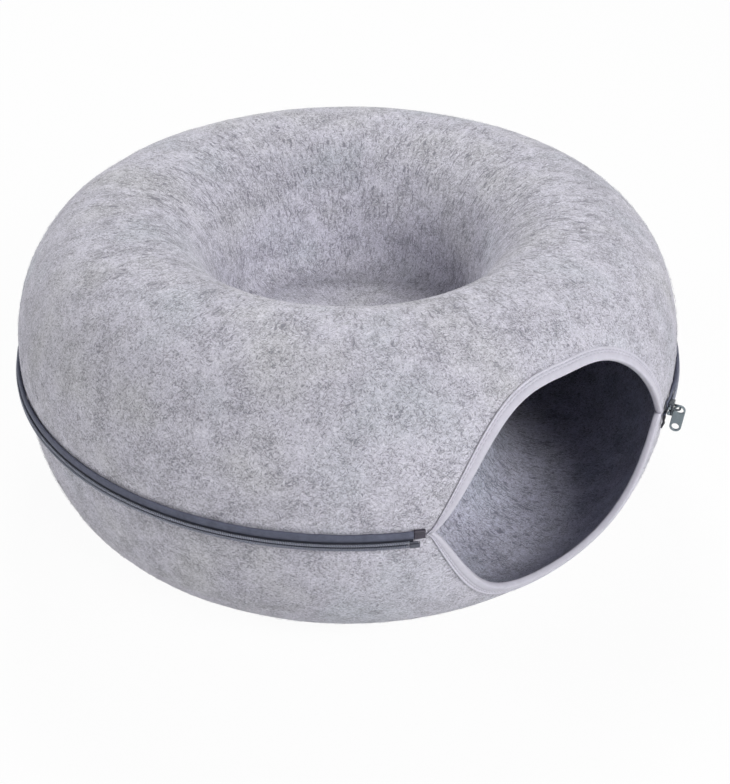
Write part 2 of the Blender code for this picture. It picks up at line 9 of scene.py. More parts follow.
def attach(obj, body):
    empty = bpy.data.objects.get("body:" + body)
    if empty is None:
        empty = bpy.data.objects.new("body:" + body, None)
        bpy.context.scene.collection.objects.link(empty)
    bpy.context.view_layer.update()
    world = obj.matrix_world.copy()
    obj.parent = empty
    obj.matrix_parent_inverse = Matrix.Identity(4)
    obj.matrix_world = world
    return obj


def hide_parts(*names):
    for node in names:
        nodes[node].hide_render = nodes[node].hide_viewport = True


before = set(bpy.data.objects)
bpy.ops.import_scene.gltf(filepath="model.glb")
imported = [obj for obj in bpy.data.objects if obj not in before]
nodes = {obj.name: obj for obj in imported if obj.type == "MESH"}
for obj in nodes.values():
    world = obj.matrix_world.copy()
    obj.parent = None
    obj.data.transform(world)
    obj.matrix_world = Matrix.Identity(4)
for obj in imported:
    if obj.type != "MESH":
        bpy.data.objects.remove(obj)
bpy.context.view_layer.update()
random.seed(7)
print("frame loaded")

# the bed's own sizes in metres, the same as in its solids
bed = {
    "entranceAngle": math.radians(37.2),  # from the front towards the right
    "rimRadius": 0.2460,
    "lowerRimInset": 0.0010,
    "parting": 0.1150,
    "partingGap": 0.0003,
    "upperHeight": 0.1065,
    "crownRadius": 0.1690,
    "throatRadius": 0.0965,
    "throatPower": 0.79,
    "upperPower": 0.95,
    "lowerPower": 0.86,
    "rimStraight": 0.0060,
    "discFillet": 0.0200,
    "footWidth": 0.0160,
    "felt": 0.0040,
}
entrance = {
    "width": 0.2180,
    "upperRise": 0.0773,
    "lowerDrop": 0.0812,
    "power": 2.94,
    "flareShare": 0.70,
    "flarePower": 5.8,
    "stations": 112,
    "rows": 14,
    "overrun": 0.0060,
    "tangentStep": 1 / 320,
}
halfAngle = entrance["width"] / 2 / bed["rimRadius"]

# the camera stands where the photographer stood
view = {
    "position": (0, -0.8573, 0.6420),
    "down": 0.5993,
    "yaw": 0.0148,
    "roll": 0.0025,
    "lens": 59.94,
    "sensorWidth": 36,
}


def addObject(name, data):
    thing = bpy.data.objects.new(name, data)
    bpy.context.scene.collection.objects.link(thing)
    return thing


def addCamera():
    yaw, down, roll = view["yaw"], view["down"], view["roll"]
    ahead = Vector((math.sin(yaw) * math.cos(down), math.cos(yaw) * math.cos(down), -math.sin(down)))
    right = ahead.cross(Vector((0, 0, 1))).normalized()
    up = right.cross(ahead)
    rolledRight = right * math.cos(roll) + up * math.sin(roll)
    rolledUp = up * math.cos(roll) - right * math.sin(roll)
    data = bpy.data.cameras.new("photoCamera")
    data.lens = view["lens"]
    data.sensor_width = view["sensorWidth"]
    camera = addObject("photoCamera", data)
    place = Matrix((rolledRight, rolledUp, -ahead)).transposed().to_4x4()
    place.translation = Vector(view["position"])
    camera.matrix_world = place
    bpy.context.scene.camera = camera


addCamera()


def ringPoint(radius, angle, height):
    # angle runs from the middle of the entrance round the bed
    turned = angle + bed["entranceAngle"]
    return Vector((radius * math.sin(turned), -radius * math.cos(turned), height))


def clamp(share):
    return min(max(share, 0), 1)


def makeHalf(side, rim, height, power, foot, rise):
    return {
        "side": side,
        "face": bed["parting"] + side * bed["partingGap"] / 2,
        "rim": rim,
        "height": height - bed["partingGap"] / 2,
        "power": power,
        "crownOuter": bed["crownRadius"] + foot / 2,
        "crownInner": bed["crownRadius"] - foot / 2,
        "rise": rise,
    }


upperHalf = makeHalf(1, bed["rimRadius"], bed["upperHeight"], bed["upperPower"], 0, entrance["upperRise"])
lowerHalf = makeHalf(
    -1,
    bed["rimRadius"] - bed["lowerRimInset"],
    bed["parting"],
    bed["lowerPower"],
    bed["footWidth"],
    entrance["lowerDrop"],
)


def outerWall(half, turn):
    climb = half["height"] - bed["rimStraight"]
    radius = half["crownOuter"] + (half["rim"] - half["crownOuter"]) * max(math.cos(turn), 0) ** half["power"]
    rise = bed["rimStraight"] + climb * math.sin(turn) ** half["power"]
    return radius, half["face"] + half["side"] * rise


def throatWall(half, turn):
    reach = half["crownInner"] - bed["throatRadius"]
    radius = half["crownInner"] - reach * max(math.cos(turn), 0) ** bed["throatPower"]
    return radius, half["face"] + half["side"] * half["height"] * math.sin(turn) ** bed["throatPower"]


def throatStart(half):
    share = (bed["felt"] + bed["discFillet"]) / half["height"]
    return math.asin(share ** (1 / bed["throatPower"]))


def wallRadius(half, height):
    climbed = half["side"] * (height - half["face"]) - bed["rimStraight"]
    if climbed <= 0:
        return half["rim"]
    share = min(climbed / (half["height"] - bed["rimStraight"]), 1)
    return outerWall(half, math.asin(share ** (1 / half["power"])))[0]


def wallNormal(half, height):
    step = bed["felt"] / 5
    change = wallRadius(half, height + step / 2) - wallRadius(half, height - step / 2)
    length = math.hypot(step, change)
    return step / length, -change / length


def wallPoint(half, angle, height, proud):
    out, up = wallNormal(half, height)
    return ringPoint(wallRadius(half, height) + proud * out, angle, height + proud * up)


def archHeight(half, share):
    arch = 1 - abs(share) ** entrance["power"]
    flare = 1 - entrance["flareShare"] * abs(share) ** entrance["flarePower"]
    return half["face"] + half["side"] * half["rise"] * arch * flare


def archTangent(half, share):
    step = entrance["tangentStep"]
    near = wallPoint(half, (share - step) * halfAngle, archHeight(half, share - step), 0)
    far = wallPoint(half, (share + step) * halfAngle, archHeight(half, share + step), 0)
    return (far - near).normalized()


def archPoint(half, share, into, proud, level=None):
    # into is measured across the cut edge towards the opening, proud along the wall's normal
    angle, height = share * halfAngle, archHeight(half, share)
    out, up = wallNormal(half, height)
    turned = angle + bed["entranceAngle"]
    normal = Vector((out * math.sin(turned), -out * math.cos(turned), up))
    tangent = archTangent(half, share)
    inward = tangent.cross(normal)
    if inward.z * half["side"] > 0:
        inward = -inward
    aroundRing = Vector((math.cos(turned), math.sin(turned), 0))
    upWall = normal.cross(aroundRing)
    if upWall.z < 0:
        upWall = -upWall
    if into > 0:
        point = wallPoint(half, angle, height, proud) + inward * into
    else:
        beside = angle + into * inward.dot(aroundRing) / wallRadius(half, height)
        point = wallPoint(half, beside, height + into * inward.dot(upWall) * upWall.z, proud)
    if abs(share) > 0.9999:
        # both ends are cut level
        point += tangent * (((half["face"] if level is None else level) - point.z) / tangent.z)
    return point


def newPiece(name, shape):
    mesh = bpy.data.meshes.new(name)
    shape.to_mesh(mesh)
    shape.free()
    return addObject(name, mesh)


def dressPiece(piece, body, material, replaced=(), smoothAngle=40):
    piece.data.materials.clear()
    piece.data.materials.append(material)
    piece.data.shade_smooth()
    piece.data.set_sharp_from_angle(angle=math.radians(smoothAngle))
    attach(piece, body)
    if replaced:
        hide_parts(*replaced)
    return piece


def settledMesh(piece):
    # the mesh that the piece's modifiers or curve give
    graph = bpy.context.evaluated_depsgraph_get()
    return bpy.data.meshes.new_from_object(piece.evaluated_get(graph))


def curvePiece(name, curve):
    drawn = addObject(name + "Line", curve)
    mesh = settledMesh(drawn)
    bpy.data.objects.remove(drawn)
    mesh.name = name
    return addObject(name, mesh)


merging = {"coarse": 0.00001, "fine": 0.000002}  # points nearer than this are made one


def newWire(name, radius, resolution):
    curve = bpy.data.curves.new(name, "CURVE")
    curve.dimensions = "3D"
    curve.bevel_depth = radius
    curve.bevel_resolution = resolution
    curve.use_fill_caps = True
    return curve


def addLine(curve, points):
    spline = curve.splines.new("POLY")
    spline.points.add(len(points) - 1)
    for point, place in zip(spline.points, points):
        point.co = (*place, 1)
    return spline


def gridSheet(columns, rows, place, length, width):
    # a sheet whose point at each column and row is given by place; its cloth map is in metres
    shape = bmesh.new()
    bmesh.ops.create_grid(shape, x_segments=columns, y_segments=rows, size=1)
    cloth = shape.loops.layers.uv.new("cloth")
    for face in shape.faces:
        for loop in face.loops:
            loop[cloth].uv = ((loop.vert.co.x + 1) / 2 * length, (loop.vert.co.y + 1) / 2 * width)
    for vert in shape.verts:
        vert.co = place((vert.co.x + 1) / 2, round((vert.co.y + 1) / 2 * rows))
    bmesh.ops.recalc_face_normals(shape, faces=shape.faces[:])
    shape.normal_update()
    return shape


def turnOutwards(shape):
    outward = sum(face.normal.dot(face.calc_center_median() * Vector((1, 1, 0))) for face in shape.faces)
    if outward < 0:
        bmesh.ops.reverse_faces(shape, faces=shape.faces[:])


def turnByFace(shape, face):
    # the given face has to look away from the bed's axis
    if face.normal.dot(face.calc_center_median() * Vector((1, 1, 0))) < 0:
        bmesh.ops.reverse_faces(shape, faces=shape.faces[:])


def thicken(piece, thickness):
    thick = piece.modifiers.new("thickness", "SOLIDIFY")
    thick.thickness = thickness
    thick.offset = -1


def hexColour(code):
    parts = [int(code[i : i + 2], 16) / 255 for i in (1, 3, 5)]
    return (*[p / 12.92 if p <= 0.04045 else ((p + 0.055) / 1.055) ** 2.4 for p in parts], 1)


def addNode(tree, kind, settings=None, links=None):
    node = tree.nodes.new("ShaderNode" + kind)
    for key, value in (settings or {}).items():
        if isinstance(key, str) and hasattr(node, key):
            setattr(node, key, value)
        else:
            node.inputs[key].default_value = value
    for key, source in (links or {}).items():
        tree.links.new(source, node.inputs[key])
    return node


def newMaterial(name, sockets):
    material = bpy.data.materials.new(name)
    material.use_nodes = True
    shader = material.node_tree.nodes["Principled BSDF"]
    for socket, value in sockets.items():
        shader.inputs[socket].default_value = value
    return material, material.node_tree, shader


def noiseSettings(sizeMm, detail, roughness):
    return {"Scale": 1000 / sizeMm, "Detail": detail, "Roughness": roughness}


feltLook = {
    "mid": "#CCCAD6",
    "cool": "#BCC4CC",  # two faint casts that the blended wool takes in patches
    "warm": "#C6C6C4",
    "pale": "#EDECF4",
    "dark": "#5F5E6B",
    # for each colour, where its noise starts and fills it, and how much of it shows
    "coolShare": (0.52, 0.70, 0.45),
    "warmShare": (0.48, 0.30, 0.45),
    "paleShare": (0.57, 0.74, 0.64),
    "darkShare": (0.43, 0.26, 0.67),
    "insideShadeTint": (0.865, 0.88, 0.93),  # painted shade: the wool that faces the tunnel is made a little darker and bluer
    "lockMm": 1.0,  # width and length of a short lock of fibres
    "lockLengthMm": 3.2,
    "lockDirections": ((0.60, 0.30, 0.75), (-0.70, 0.40, 0.60), (0.50, -0.80, 0.33), (0.90, 0.40, -0.15)),
    "curlMm": 4.762,  # how far apart the locks bend, and how far they stray
    "curlReachMm": 4.5,
    "combedMm": 1.2,  # width and length of a lock that was combed, and the radius where that width is true
    "combedLengthMm": 7.0,
    "combedRadiusMm": 130,
    # radii between which the combing fades, and its two amounts
    "combedFade": {"From Min": 0.150, "From Max": 0.240, "To Min": 1.4, "To Max": 0.25},
    # size in mm, detail and roughness of each noise
    "grain": (0.6, 2.0, 0.7),
    "clump": (4.5, 2.0, 0.6),
    "blotch": (15, 3.0, 0.6),
    "cast": (70, 2.0, 0.5),
    "grainTone": 0.35,
    "clumpTone": 0.30,
    "blotchTone": 0.30,
    "unevenShare": 0.24,
    "bumpMm": 0.45,
    "bump": 0.5,
    "grainRelief": 0.5,
    "shader": {"Roughness": 0.95, "Sheen Weight": 0.2, "Sheen Roughness": 0.5, "Specular IOR Level": 0.2},
}


def makeFelt():
    # press-moulded wool felt: matt melange grey, where dark and pale fibres lie in short tangled locks
    material, tree, shader = newMaterial("mouldedWoolFelt", feltLook["shader"])
    where = addNode(tree, "TexCoord").outputs["Object"]
    curl = {"Scale": 1000 / feltLook["curlMm"], "Detail": 1.0}
    curl = addNode(tree, "TexNoise", curl, {"Vector": where}).outputs["Color"]
    curl = addNode(tree, "VectorMath", {"operation": "SUBTRACT", 1: (0.5, 0.5, 0.5)}, {0: curl}).outputs[0]
    reach = {"operation": "SCALE", "Scale": feltLook["curlReachMm"] / 1000}
    curl = addNode(tree, "VectorMath", reach, {0: curl}).outputs[0]
    tangled = addNode(tree, "VectorMath", {"operation": "ADD"}, {0: where, 1: curl}).outputs[0]
    lockNoise = {"Scale": 1.0, "Detail": 1.0, "Roughness": 0.5}
    size = tuple(feltLook[key] / 1000 for key in ("lockMm", "lockMm", "lockLengthMm"))
    locks = []
    for direction in feltLook["lockDirections"]:
        turn = tuple(Vector(direction).to_track_quat("Z", "Y").to_euler())
        placing = {"vector_type": "TEXTURE", "Rotation": turn, "Scale": size}
        placed = addNode(tree, "Mapping", placing, {"Vector": tangled}).outputs[0]
        locks.append(addNode(tree, "TexNoise", lockNoise, {"Vector": placed}).outputs[0])
    # fibres combed towards the well while the felt was pressed; the look fades out over the outer wall
    parts = addNode(tree, "SeparateXYZ", links={0: tangled}).outputs
    flat = addNode(tree, "CombineXYZ", links={0: parts[0], 1: parts[1]}).outputs[0]
    radius = addNode(tree, "VectorMath", {"operation": "LENGTH"}, {0: flat}).outputs["Value"]
    around = addNode(tree, "VectorMath", {"operation": "NORMALIZE"}, {0: flat}).outputs[0]
    perWidth = {"operation": "SCALE", "Scale": feltLook["combedRadiusMm"] / feltLook["combedMm"]}
    arc = addNode(tree, "VectorMath", perWidth, {0: around}).outputs[0]
    perLength = {"operation": "MULTIPLY", 1: 1000 / feltLook["combedLengthMm"]}
    climb = addNode(tree, "Math", perLength, {0: parts[2]}).outputs[0]
    climb = addNode(tree, "CombineXYZ", links={2: climb}).outputs[0]
    place = addNode(tree, "VectorMath", {"operation": "ADD"}, {0: arc, 1: climb}).outputs[0]
    outward = addNode(tree, "Math", perLength, {0: radius}).outputs[0]
    combedNoise = {"noise_dimensions": "4D", **lockNoise}
    combed = addNode(tree, "TexNoise", combedNoise, {"Vector": place, "W": outward}).outputs[0]
    fade = {"interpolation_type": "SMOOTHSTEP", **feltLook["combedFade"]}
    share = addNode(tree, "MapRange", fade, {"Value": radius}).outputs[0]
    combed = addNode(tree, "Math", {"operation": "SUBTRACT", 1: 0.5}, {0: combed}).outputs[0]
    combed = addNode(tree, "Math", {"operation": "MULTIPLY_ADD", 2: 0.5}, {0: combed, 1: share}).outputs[0]
    lowest, highest = combed, combed
    for lock in locks:
        lowest = addNode(tree, "Math", {"operation": "MINIMUM"}, {0: lowest, 1: lock}).outputs[0]
        highest = addNode(tree, "Math", {"operation": "MAXIMUM"}, {0: highest, 1: lock}).outputs[0]
    noises = {}
    for key, place in (("grain", tangled), ("clump", tangled), ("blotch", where), ("cast", where)):
        noises[key] = addNode(tree, "TexNoise", noiseSettings(*feltLook[key]), {"Vector": place}).outputs[0]
    # dark locks gather in blotches
    uneven = {"operation": "MULTIPLY_ADD", 1: feltLook["unevenShare"], 2: -feltLook["unevenShare"] / 2}
    uneven = addNode(tree, "Math", uneven, {0: noises["blotch"]}).outputs[0]
    darkPlace = addNode(tree, "Math", {"operation": "ADD"}, {0: lowest, 1: uneven}).outputs[0]
    sources = {"cool": noises["cast"], "warm": noises["cast"], "pale": highest, "dark": darkPlace}
    colour = None
    for key, source in sources.items():
        start, full, amount = feltLook[key + "Share"]
        spread = {"From Min": start, "From Max": full, "To Max": amount}
        links = {0: addNode(tree, "MapRange", spread, {"Value": source}).outputs[0]}
        if colour:
            links[6] = colour
        blend = {"data_type": "RGBA", 6: hexColour(feltLook["mid"]), 7: hexColour(feltLook[key])}
        colour = addNode(tree, "Mix", blend, links).outputs[2]
    # slow and fine changes of tone
    tone = None
    for key in ("blotch", "clump", "grain"):
        depth = feltLook[key + "Tone"]
        change = {"operation": "MULTIPLY_ADD", 1: depth, 2: 1 - depth / 2}
        step = addNode(tree, "Math", change, {0: noises[key]}).outputs[0]
        if tone:
            step = addNode(tree, "Math", {"operation": "MULTIPLY"}, {0: tone, 1: step}).outputs[0]
        tone = step
    colour = addNode(tree, "VectorMath", {"operation": "SCALE"}, {0: colour, "Scale": tone}).outputs[0]
    # painted shade: faces turned to the tunnel take a darker, bluer colour
    inside = addNode(tree, "Attribute", {"attribute_name": "inside"}).outputs["Fac"]
    shadeTint = {"operation": "MULTIPLY", 1: feltLook["insideShadeTint"]}
    tunnelShaded = addNode(tree, "VectorMath", shadeTint, {0: colour}).outputs[0]
    colour = addNode(tree, "Mix", {"data_type": "RGBA"}, {0: inside, 6: colour, 7: tunnelShaded}).outputs[2]
    tree.links.new(colour, shader.inputs["Base Color"])
    height = addNode(tree, "Math", {"operation": "ADD"}, {0: lowest, 1: highest}).outputs[0]
    rough = {"operation": "MULTIPLY_ADD", 1: feltLook["grainRelief"]}
    height = addNode(tree, "Math", rough, {0: noises["grain"], 2: height}).outputs[0]
    relief = {"Strength": feltLook["bump"], "Distance": feltLook["bumpMm"] / 1000}
    bump = addNode(tree, "Bump", relief, {"Height": height})
    tree.links.new(bump.outputs[0], shader.inputs["Normal"])
    return material


tapeLook = {
    "slant": math.radians(45),
    "period": 0.31416,  # the wave texture's scale at which one band is one thread wide
    "wander": 0.6,
    "wear": (5.556, 3.0, 0.65),  # size in mm, detail and roughness
    "wearShare": 0.6,
    "tones": (0.20, 0.65),  # where the dark and the base colour are full
    # how dark the painted shade beside the coil makes the tape
    "stripShadeTone": 0.35,
    "bump": 0.4,
    "shader": {"Sheen Roughness": 0.4, "Specular IOR Level": 0.25},
}


def makeWeave(name, base, dark, threadMm, roughness, bumpMm, sheen, shadedStripMm=0):
    # narrow woven polyester tape: threads cross at a slant, with a faint lustre along them
    sockets = {"Roughness": roughness, "Sheen Weight": sheen, **tapeLook["shader"]}
    material, tree, shader = newMaterial(name, sockets)
    place = addNode(tree, "UVMap", {"uv_map": "cloth"}).outputs[0]
    perThread = {"operation": "SCALE", "Scale": 1000 / threadMm}
    scaled = addNode(tree, "VectorMath", perThread, {0: place}).outputs[0]
    turned = addNode(tree, "Mapping", {"Rotation": (0, 0, tapeLook["slant"])}, {"Vector": scaled}).outputs[0]
    crossings = []
    for direction in ("X", "Y"):
        bands = {"wave_type": "BANDS", "bands_direction": direction, "Detail": 1.0}
        bands.update({"Scale": tapeLook["period"], "Distortion": tapeLook["wander"]})
        crossings.append(addNode(tree, "TexWave", bands, {"Vector": turned}).outputs["Fac"])
    threads = addNode(tree, "Math", {"operation": "MULTIPLY"}, {0: crossings[0], 1: crossings[1]}).outputs[0]
    where = addNode(tree, "TexCoord").outputs["Object"]
    worn = addNode(tree, "TexNoise", noiseSettings(*tapeLook["wear"]), {"Vector": where}).outputs["Fac"]
    blend = {"data_type": "FLOAT", 0: tapeLook["wearShare"]}
    ramp = addNode(tree, "ValToRGB", links={0: addNode(tree, "Mix", blend, {2: threads, 3: worn}).outputs[0]})
    for element, position, code in zip(ramp.color_ramp.elements, tapeLook["tones"], (dark, base)):
        element.position, element.color = position, hexColour(code)
    colour = ramp.outputs[0]
    if shadedStripMm:
        # painted shade: the strip beside the coil, where the fold and the felt shade it, is made darker
        up = addNode(tree, "SeparateXYZ", links={0: place}).outputs[1]
        edge = {"From Min": shadedStripMm / 2000, "From Max": shadedStripMm / 1000, "To Min": tapeLook["stripShadeTone"]}
        stripShade = addNode(tree, "MapRange", edge, {"Value": up}).outputs[0]
        colour = addNode(tree, "VectorMath", {"operation": "SCALE"}, {0: colour, "Scale": stripShade}).outputs[0]
    tree.links.new(colour, shader.inputs["Base Color"])
    relief = {"Strength": tapeLook["bump"], "Distance": bumpMm / 1000}
    bump = addNode(tree, "Bump", relief, {"Height": threads})
    tree.links.new(bump.outputs[0], shader.inputs["Normal"])
    return material


mouldedLook = {
    "marks": (1.111, 3.0, 0.7),  # size in mm, detail and roughness
    "tones": (0.35, 0.75),  # where the base and the worn colour are full
    "glossier": 0.08,
    "duller": 0.1,
    "bumpMm": 0.1,
    "bump": 0.15,
}


def makeMoulded(name, base, worn, roughness, metallic=0.0):
    # satin surface with faint handling marks
    material, tree, shader = newMaterial(name, {"Roughness": roughness, "Metallic": metallic})
    where = addNode(tree, "TexCoord").outputs["Object"]
    marks = addNode(tree, "TexNoise", noiseSettings(*mouldedLook["marks"]), {"Vector": where}).outputs["Fac"]
    ramp = addNode(tree, "ValToRGB", links={0: marks})
    for element, position, code in zip(ramp.color_ramp.elements, mouldedLook["tones"], (base, worn)):
        element.position, element.color = position, hexColour(code)
    tree.links.new(ramp.outputs[0], shader.inputs["Base Color"])
    gloss = {"To Min": roughness - mouldedLook["glossier"], "To Max": roughness + mouldedLook["duller"]}
    gloss = addNode(tree, "MapRange", gloss, {"Value": marks}).outputs[0]
    tree.links.new(gloss, shader.inputs["Roughness"])
    relief = {"Strength": mouldedLook["bump"], "Distance": mouldedLook["bumpMm"] / 1000}
    bump = addNode(tree, "Bump", relief, {"Height": marks})
    tree.links.new(bump.outputs[0], shader.inputs["Normal"])
    return material


strayLook = {
    "patches": (11.111, 2.0, 0.8),  # size in mm, detail and roughness
    "tones": (0.40, 0.52),
    "colours": ("#5B5A66", "#D6D5DF"),
    "roughness": 0.8,
}


def makeStrayWool():
    # single fibres that stand off the felt, most of them pale, some dark
    material, tree, shader = newMaterial("strayWoolFibre", {"Roughness": strayLook["roughness"]})
    where = addNode(tree, "TexCoord").outputs["Object"]
    mixed = addNode(tree, "TexNoise", noiseSettings(*strayLook["patches"]), {"Vector": where}).outputs["Fac"]
    ramp = addNode(tree, "ValToRGB", links={0: mixed})
    for element, position, code in zip(ramp.color_ramp.elements, strayLook["tones"], strayLook["colours"]):
        element.position, element.color = position, hexColour(code)
    tree.links.new(ramp.outputs[0], shader.inputs["Base Color"])
    return material


woolFelt = makeFelt()
strayWool = makeStrayWool()
# tapes: two colours, thread spacing in mm, roughness, height of the threads in mm, sheen, strip of painted
# shade beside the coil in mm
bindingTape = makeWeave("satinBindingTape", "#DAD8E4", "#C6C4D0", 0.55, 0.6, 0.05, 0.15)  # pale, faint lustre
# the slate tape gets a strip of painted shade beside its coil
zipTape = makeWeave("slateTwillTape", "#6B6F82", "#4E5160", 0.7, 0.65, 0.10, 0.0, 1.9)  # dull slate twill
looseTape = makeWeave("blackTapeTail", "#2B2933", "#17161C", 0.7, 0.7, 0.10, 0.1)  # raw end, nearly black
# moulded, drawn and cast surfaces: two colours, roughness, metallic
endFilm = makeMoulded("fusedTapeEnd", "#322E3A", "#46414F", 0.5)  # tape end melted into a stiff dark film
nylonCoil = makeMoulded("dyedNylonCoil", "#8A8E9E", "#9EA2B0", 0.32)  # drawn nylon thread, satin
nylonEnd = makeMoulded("mouldedNylonEnd", "#4A4D5A", "#5A5D6A", 0.45)  # injected nylon of the pin and its box
sewingThread = makeMoulded("polyesterThread", "#B9B7C4", "#A6A4B2", 0.6)  # spun thread, duller than its tape
lacqueredZinc = makeMoulded("lacqueredZinc", "#7A858B", "#8B969C", 0.40, 0.3)  # die-cast zinc, grey lacquer
darkZinc = makeMoulded("blackenedZinc", "#3E4248", "#777C82", 0.3, 0.85)  # worn lighter in small marks scattered over it
print("materials ready")

feltForm = {
    "turnSteps": 216,
    "wallSteps": 28,
    "throatSteps": 24,
    "filletSteps": 8,
    "discRings": 8,
    "uneven": 0.0007,
    "unevenSize": 0.055,
    "heldHeight": 0.008,  # it stays even this near the zip and gets uneven over the fade
    "heldFade": 0.03,
    "groundFade": 0.02,
    "cornerHeld": 0.03,  # the same past the entrance's corners, in radians
    "cornerFade": 0.25,
    "pressed": 0.0026,  # felt under the binding
    "pressMargin": 0.0008,
    "pressSlope": 0.0035,
    "pressOverrun": 0.0015,  # how far its cutter goes past the cut edge, and past the inside of the felt
    "pressThrough": 0.0006,
}


def feltSection(half):
    disc = half["face"] + half["side"] * bed["felt"]
    start = throatStart(half)
    centre = throatWall(half, start)[0] - bed["discFillet"]
    rings = feltForm["discRings"]
    points = [(centre * i / rings, disc) for i in range(rings + 1)]
    for step in range(1, feltForm["filletSteps"]):
        turn = math.pi / 2 * step / feltForm["filletSteps"]
        rise = bed["discFillet"] * (1 - math.cos(turn))
        points.append((centre + bed["discFillet"] * math.sin(turn), disc + half["side"] * rise))
    for step in range(feltForm["throatSteps"] + 1):
        points.append(throatWall(half, start + (math.pi / 2 - start) * step / feltForm["throatSteps"]))
    for step in range(feltForm["wallSteps"], -1, -1):
        point = outerWall(half, math.pi / 2 * step / feltForm["wallSteps"])
        if abs(point[0] - points[-1][0]) > 0.0001:  # without a flat crown its point is there already
            points.append(point)
    points.append((half["rim"], half["face"]))
    return points


def feltSwell(point):
    # hand-laid felt is never quite even; it is held true at the zip, the entrance and the ground
    hold = clamp((abs(point.z - bed["parting"]) - feltForm["heldHeight"]) / feltForm["heldFade"])
    hold *= clamp(point.z / feltForm["groundFade"])
    turn = math.atan2(point.x, -point.y) - bed["entranceAngle"]
    turn = abs((turn + math.pi) % (2 * math.pi) - math.pi)
    if math.hypot(point.x, point.y) > bed["crownRadius"]:
        hold *= clamp((turn - halfAngle - feltForm["cornerHeld"]) / feltForm["cornerFade"])
    return hold * feltForm["uneven"] * noise.noise(point / feltForm["unevenSize"])


def entranceCutter(half):
    shape = bmesh.new()
    bmesh.ops.create_grid(shape, x_segments=entrance["stations"], y_segments=entrance["rows"], size=1)
    grown = bmesh.ops.extrude_face_region(shape, geom=shape.faces[:])
    far = [item for item in grown["geom"] if isinstance(item, bmesh.types.BMVert)]
    bmesh.ops.translate(shape, verts=far, vec=(0, 0, 1))
    overrun = entrance["overrun"]
    low = half["face"] - half["side"] * overrun
    for vert in shape.verts:
        across, up, through = vert.co.x, (vert.co.y + 1) / 2, vert.co.z
        height = low + (archHeight(half, across) - low) * up
        vert.co = wallPoint(half, across * halfAngle, height, overrun - through * (bed["felt"] + 2 * overrun))
    bmesh.ops.recalc_face_normals(shape, faces=shape.faces[:])
    return newPiece("entranceCutter", shape)


def bindingWidth(share):
    return binding["width"] - (binding["width"] - binding["tipWidth"]) * abs(share) ** binding["tipPower"]


def pressCutter(half):
    # takes the inside of the felt down under the binding's inner flap, with a slope back to full thickness
    beyond, through = feltForm["pressOverrun"], -bed["felt"] - feltForm["pressThrough"]
    level = half["face"] - half["side"] * entrance["overrun"]
    stations = entrance["stations"]

    def place(along, row):
        share = -1 + 2 * along
        width = bindingWidth(share) + feltForm["pressMargin"]
        section = [(-width, -feltForm["pressed"]), (beyond, -feltForm["pressed"]), (beyond, through)]
        section.append((-width - feltForm["pressSlope"], through))
        return archPoint(half, share, *section[row % 4], level)

    shape = gridSheet(stations, 4, place, 1, 1)
    bmesh.ops.remove_doubles(shape, verts=shape.verts[:], dist=merging["coarse"])
    bmesh.ops.holes_fill(shape, edges=[edge for edge in shape.edges if edge.is_boundary], sides=0)
    bmesh.ops.recalc_face_normals(shape, faces=shape.faces[:])
    return newPiece("pressCutter", shape)


def markShadedInside(piece):
    # faces that look towards the middle of the tunnel; the felt material paints shade on them
    mark = piece.data.attributes.new("inside", "FLOAT", "FACE")
    for face in piece.data.polygons:
        flat = Vector((face.center.x, face.center.y, 0))
        middle = flat.normalized() * bed["crownRadius"] + Vector((0, 0, bed["parting"]))
        mark.data[face.index].value = 1.0 if face.normal.dot(middle - face.center) > 0 else 0.0


def makeFeltHalf(name, half, body, replaced):
    shape = bmesh.new()
    line = [shape.verts.new(ringPoint(r, math.pi, z)) for r, z in feltSection(half)]
    edges = [shape.edges.new(pair) for pair in zip(line, line[1:])]
    bmesh.ops.spin(
        shape,
        geom=line + edges,
        axis=(0, 0, 1),
        cent=(0, 0, 0),
        angle=2 * math.pi,
        steps=feltForm["turnSteps"],
        use_merge=True,
    )
    bmesh.ops.remove_doubles(shape, verts=shape.verts[:], dist=merging["coarse"])
    bmesh.ops.recalc_face_normals(shape, faces=shape.faces[:])
    shape.faces.ensure_lookup_table()
    turnByFace(shape, max(shape.faces, key=lambda face: math.hypot(*face.calc_center_median()[:2])))
    shape.normal_update()
    moves = [(vert, vert.normal * feltSwell(vert.co)) for vert in shape.verts]
    for vert, move in moves:
        vert.co += move
    piece = newPiece(name, shape)
    thicken(piece, bed["felt"])
    piece.modifiers["thickness"].use_even_offset = True
    cutters = [pressCutter(half), entranceCutter(half)]
    for cutter in cutters:
        cut = piece.modifiers.new(cutter.name, "BOOLEAN")
        cut.operation = "DIFFERENCE"
        cut.solver = "EXACT"
        cut.object = cutter
    mesh = settledMesh(piece)
    piece.modifiers.clear()
    piece.data = mesh
    for cutter in cutters:
        bpy.data.objects.remove(cutter)
    markShadedInside(piece)
    return dressPiece(piece, body, woolFelt, replaced, 50)


binding = {
    "width": 0.0078,
    "tipWidth": 0.0020,
    "tipPower": 8,
    "thickness": 0.0006,
    "stations": 140,
    "cloth": (0.31, 0.020),  # length and width of its cloth map
    "stitchPitch": 0.0034,
    "stitchSize": (0.0026, 0.00025, 0.0002),  # length, and half of its width and height
    "stitchRows": (0.24, 0.45),  # shares of the width, from the outer edge
    "stitchProud": 0.00075,
    "stitchDeep": 0.0012,
    "stitchEnd": 0.97,
    "stitchSteps": 1400,
}

makeFeltHalf("upperFelt", upperHalf, "upper_half", ["upper_shell"])
makeFeltHalf("lowerFelt", lowerHalf, "lower_half", ["lower_shell"])
print("felt halves made")

